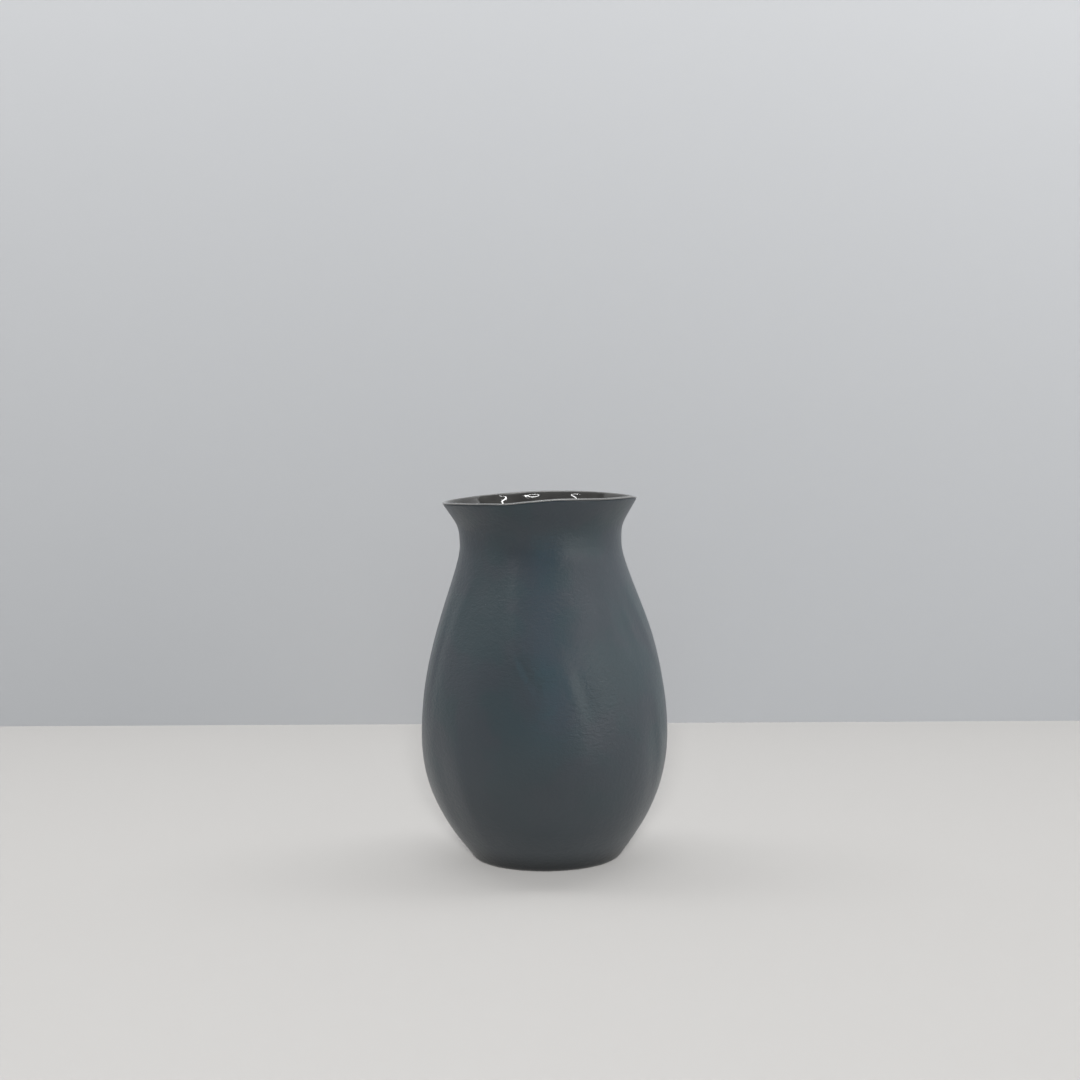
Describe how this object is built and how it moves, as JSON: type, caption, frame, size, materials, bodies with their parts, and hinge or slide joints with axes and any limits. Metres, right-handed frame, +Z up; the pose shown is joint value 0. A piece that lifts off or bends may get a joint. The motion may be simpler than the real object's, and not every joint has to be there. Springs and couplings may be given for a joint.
{
  "type": "vase",
  "caption": "Hand-formed metal vase with a rounded belly, waisted neck and flared lip, dark and matte outside, glossy enamel inside, for cut or dried stems.",
  "frame": {"origin": "on the surface the vase stands on, under the middle of the foot", "axes": "+Z up through the mouth, -Y towards the front as pictured, +X to the right"},
  "size_m": [0.1577, 0.1575, 0.2338],
  "materials": {
    "slate_coat": "matte",
    "bare_aluminium": "satin",
    "warm_grey_enamel": "gloss",
    "charcoal_felt": "matte"
  },
  "bodies": {
    "root": {"outer_wall": "slate_coat", "base_plate": "bare_aluminium", "weld_bead": "bare_aluminium", "enamel_lining": "warm_grey_enamel", "felt_pad": "charcoal_felt"}
  },
  "joints": []
}
